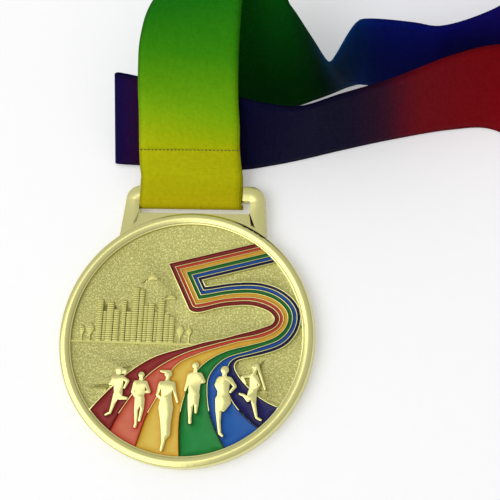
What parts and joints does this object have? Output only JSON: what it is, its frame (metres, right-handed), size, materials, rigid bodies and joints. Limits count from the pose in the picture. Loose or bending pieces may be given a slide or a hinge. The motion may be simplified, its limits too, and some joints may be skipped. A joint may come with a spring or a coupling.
{
  "type": "finisher medal",
  "caption": "Round gold-plated finisher medal with a slotted tab, coloured enamel running lanes and a neck ribbon sewn through the slot, its spare length folded.",
  "frame": {"origin": "centre of the disc on its flat back face", "axes": "+Y from the disc's centre towards the hanger tab, +Z out of the decorated face, +X to the right when the face is seen upright"},
  "size_m": [0.1879, 0.1426, 0.0385],
  "materials": {
    "gold_plate": "polished and sandblasted",
    "enamel_maroon": "gloss",
    "enamel_red": "gloss",
    "enamel_yellow": "gloss",
    "enamel_green": "gloss",
    "enamel_blue": "gloss",
    "enamel_navy": "gloss",
    "ribbon": "satin weave",
    "thread": "matte"
  },
  "bodies": {
    "ribbon": {"neck_ribbon": "ribbon", "ribbon_slot_loop": "ribbon", "seam_thread": "thread"},
    "medal": {"medal_body": "gold_plate", "enamel_maroon": "enamel_maroon", "enamel_red": "enamel_red", "enamel_yellow": "enamel_yellow", "enamel_green": "enamel_green", "enamel_blue": "enamel_blue", "enamel_navy": "enamel_navy"}
  },
  "joints": [
    {"name": "medal_swing", "type": "hinge", "parent": "ribbon", "child": "medal", "pos_m": [0, 0.04065, 0.00225], "axis": [-1, 0, 0], "range_deg": [-90, 100], "deforming": ["ribbon_slot_loop"]}
  ]
}
